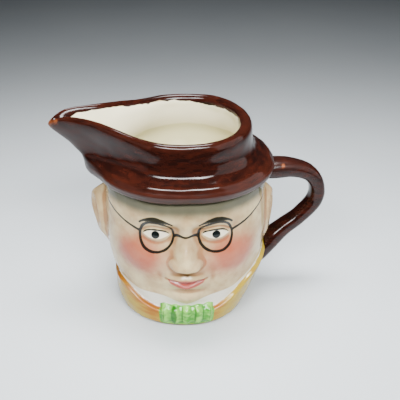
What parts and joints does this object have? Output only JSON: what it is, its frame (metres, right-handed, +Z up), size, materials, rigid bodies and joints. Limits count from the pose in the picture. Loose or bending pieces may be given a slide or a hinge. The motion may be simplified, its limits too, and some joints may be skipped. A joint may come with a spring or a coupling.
{
  "type": "toby jug",
  "caption": "Small glazed earthenware cream jug cast as a gentleman's head, with a hat brim, an open crown as its mouth, a pouring spout and a strap handle.",
  "frame": {"origin": "middle of the flat foot, on the surface that the jug stands on", "axes": "+Z up, the face looks along -Y, the spout points along -X and the handle stands out near +X"},
  "size_m": [0.097, 0.0599, 0.0737],
  "materials": {
    "glazed_earthenware": "glossy clear glaze over ivory earthenware, with a translucent red-brown glaze on the hat and handle and hand-painted cheeks, collar, coat and bow tie"
  },
  "bodies": {
    "root": {"jug": "glazed_earthenware"}
  },
  "joints": []
}
